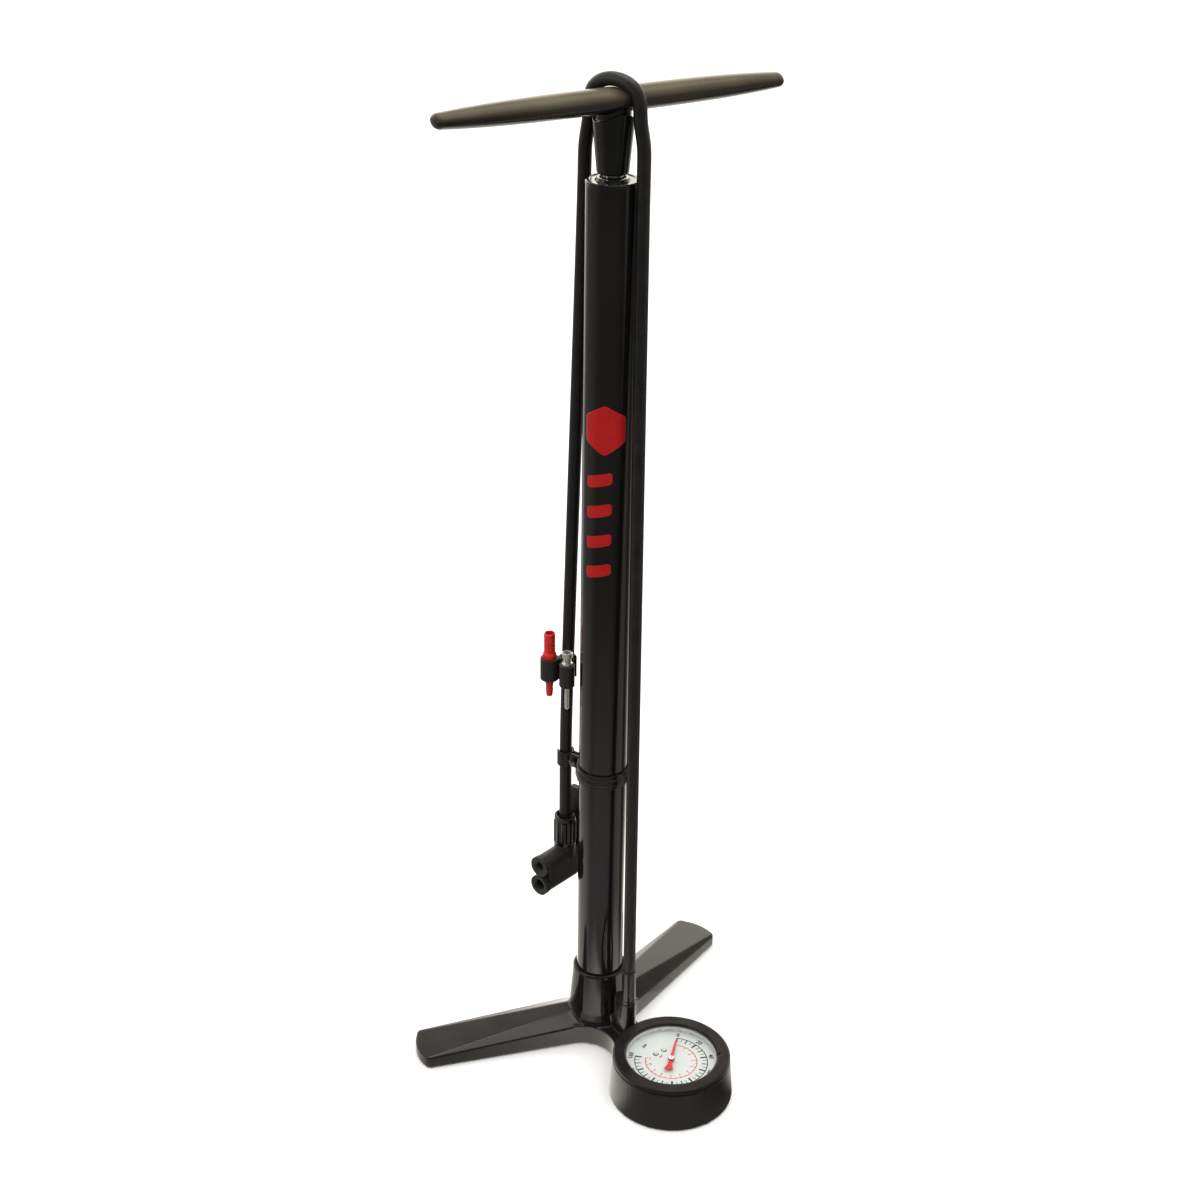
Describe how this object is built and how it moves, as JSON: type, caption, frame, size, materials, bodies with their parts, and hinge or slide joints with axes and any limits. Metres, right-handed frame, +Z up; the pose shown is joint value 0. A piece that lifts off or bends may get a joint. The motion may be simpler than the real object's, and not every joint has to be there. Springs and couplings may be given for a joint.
{
  "type": "floor bike pump",
  "caption": "Floor-standing tyre pump: steel barrel on a three-point base with a pressure gauge, sliding handle, and a hose with a twin-port lever head.",
  "frame": {"origin": "on the floor, at the middle of the base's bounding box, 38.12 mm from the barrel's axis towards the gauge", "axes": "+Z up along the barrel, -Y towards the pressure gauge, +X to the right when the gauge faces the viewer"},
  "size_m": [0.2756, 0.2006, 0.7361],
  "materials": {
    "base_plastic": "moulded black plastic, soft gloss",
    "gloss_black_plastic": "high gloss black",
    "matte_black_plastic": "fine matte black",
    "barrel_paint": "gloss black paint",
    "handle_finish": "satin black with a warm sheen",
    "hose_rubber": "smooth satin black",
    "rubber": "matte",
    "nylon": "natural nylon",
    "red_plastic": "glossy red",
    "steel": "ground",
    "chrome": "polished",
    "brass": "turned",
    "aluminium": "satin",
    "dial_white": "printed white card",
    "pointer_red": "satin red",
    "lens_glass": "clear"
  },
  "bodies": {
    "root": {"base": "base_plastic", "foot_pads": "rubber", "valve_plug": "matte_black_plastic", "valve_seat": "brass", "valve_spring": "steel", "barrel_gasket": "rubber", "barrel": "barrel_paint", "top_cap": "gloss_black_plastic", "rod_bush": "nylon", "barrel_clip": "matte_black_plastic", "clip_screw": "steel", "hose": "hose_rubber", "hose_ferrule": "matte_black_plastic", "base_nipple": "brass", "head_collar": "matte_black_plastic", "head_nipple": "brass", "head_body": "matte_black_plastic", "wide_port_nut": "matte_black_plastic", "narrow_port_nut": "matte_black_plastic", "wide_grommet": "rubber", "narrow_grommet": "rubber", "lever_pin": "steel", "adapter_holder": "matte_black_plastic", "gauge_can": "steel", "gauge_socket": "brass", "bourdon_tube": "brass", "movement_frame": "brass", "gauge_dial": "dial_white", "dial_screws": "steel", "dial_ring": "aluminium", "gauge_lens": "lens_glass", "gauge_bezel": "matte_black_plastic"},
    "piston_unit": {"piston_rod": "steel", "rod_plug": "steel", "piston": "matte_black_plastic", "piston_ring": "rubber", "piston_bolt": "steel", "stop_bumper": "rubber"},
    "handle_unit": {"handle_stem": "gloss_black_plastic", "handle": "handle_finish", "handle_bolt": "steel"},
    "lever": {"head_lever": "matte_black_plastic"},
    "plunger": {"head_plunger": "nylon"},
    "check_valve": {"check_ball": "steel"},
    "adapter": {"valve_adapter": "red_plastic"},
    "needle": {"needle_hub": "chrome", "needle_tube": "chrome"},
    "pointer_unit": {"pointer_shaft": "steel", "pointer": "pointer_red", "pointer_cap": "dial_white"},
    "sector": {"sector_gear": "brass"}
  },
  "joints": [
    {"name": "handle_slide", "type": "slide", "parent": "root", "child": "piston_unit", "axis": [0, 0, 1], "range_m": [0, 0.55], "deforming": ["hose"]},
    {"name": "handle_turn", "type": "hinge", "parent": "piston_unit", "child": "handle_unit", "pos_m": [0, 0.03812, 0.69], "axis": [0, 0, 1], "range_deg": [0, 45]},
    {"name": "lever_flip", "type": "hinge", "parent": "root", "child": "lever", "pos_m": [0.00067, 0.0725, 0.142], "axis": [-0.2284, 0.9736, 0], "range_deg": [0, 90]},
    {"name": "plunger_push", "type": "slide", "parent": "root", "child": "plunger", "axis": [-0.9736, -0.2284, 0], "range_m": [0, 0.0015]},
    {"name": "check_valve_open", "type": "slide", "parent": "root", "child": "check_valve", "axis": [0, 0, -1], "range_m": [0, 0.0015], "deforming": ["valve_spring"]},
    {"name": "adapter_lift", "type": "slide", "parent": "root", "child": "adapter", "axis": [0, 0, 1], "range_m": [0, 0.04]},
    {"name": "needle_lift", "type": "slide", "parent": "root", "child": "needle", "axis": [0, 0, 1], "range_m": [0, 0.04]},
    {"name": "pointer_turn", "type": "hinge", "parent": "root", "child": "pointer_unit", "pos_m": [0, -0.05428, 0.03], "axis": [0, 0, -1], "range_deg": [0, 270]},
    {"name": "sector_turn", "type": "hinge", "parent": "root", "child": "sector", "pos_m": [0, -0.07473, 0.012], "axis": [0, 0, 1], "range_deg": [0, 36.1]}
  ],
  "couplings": [
    {"joint": "plunger_push", "follows": "lever_flip", "m_per_rad": 0.00095},
    {"joint": "sector_turn", "follows": "pointer_turn", "ratio": 0.13333}
  ]
}
